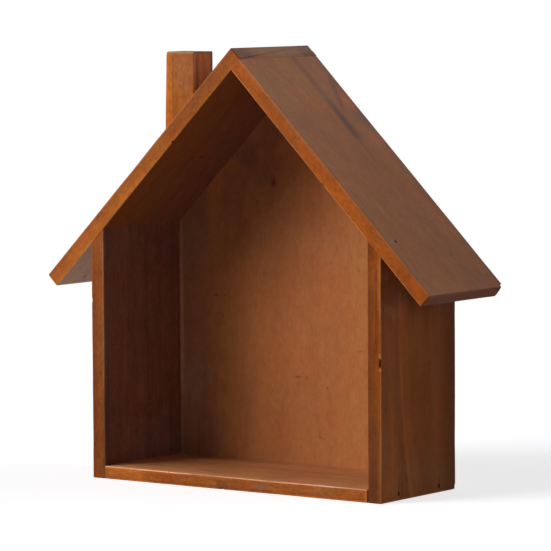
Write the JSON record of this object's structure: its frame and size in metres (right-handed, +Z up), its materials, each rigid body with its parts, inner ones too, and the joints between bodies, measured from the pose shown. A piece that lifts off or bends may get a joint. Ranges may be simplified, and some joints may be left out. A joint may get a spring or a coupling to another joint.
{
  "type": "house-shaped wall shelf",
  "caption": "House-shaped wall shelf of stained wood boards: open front, thin back panel, pitched roof with overhanging eaves, square chimney block, and a toothed hanger on its back.",
  "frame": {"origin": "middle of the floor board's underside: half way between the walls and half way along the depth, at the height of the walls' feet", "axes": "+X to the right seen from the front (the chimney is on the -X slope), +Y towards the wall that it hangs on, +Z up"},
  "size_m": [0.3556, 0.1023, 0.3336],
  "materials": {
    "wall_wood": "dark stain under a semi-gloss lacquer",
    "floor_wood": "mid-brown stain under a semi-gloss lacquer",
    "roof_wood": "mid-brown stain under a semi-gloss lacquer, darker heartwood streaks",
    "panel_wood": "stained and lacquered thin panel with an upright grain",
    "chimney_wood": "mid-brown stain under a semi-gloss lacquer",
    "nail_steel": "bright steel, darkened by stain where it shows",
    "pin_steel": "bright drawn steel",
    "hanger_steel": "zinc-plated steel strip",
    "hanger_nail_steel": "plated steel"
  },
  "bodies": {
    "root": {"left_wall": "wall_wood", "right_wall": "wall_wood", "floor_board": "floor_wood", "left_roof_board": "roof_wood", "right_roof_board": "roof_wood", "back_panel": "panel_wood", "chimney": "chimney_wood", "sawtooth_hanger": "hanger_steel", "left_floor_nails": "nail_steel", "right_floor_nails": "nail_steel", "left_eave_nails": "nail_steel", "right_eave_nails": "nail_steel", "ridge_nails": "nail_steel", "chimney_nails": "nail_steel", "back_panel_pins": "pin_steel", "hanger_nails": "hanger_nail_steel"}
  },
  "joints": []
}
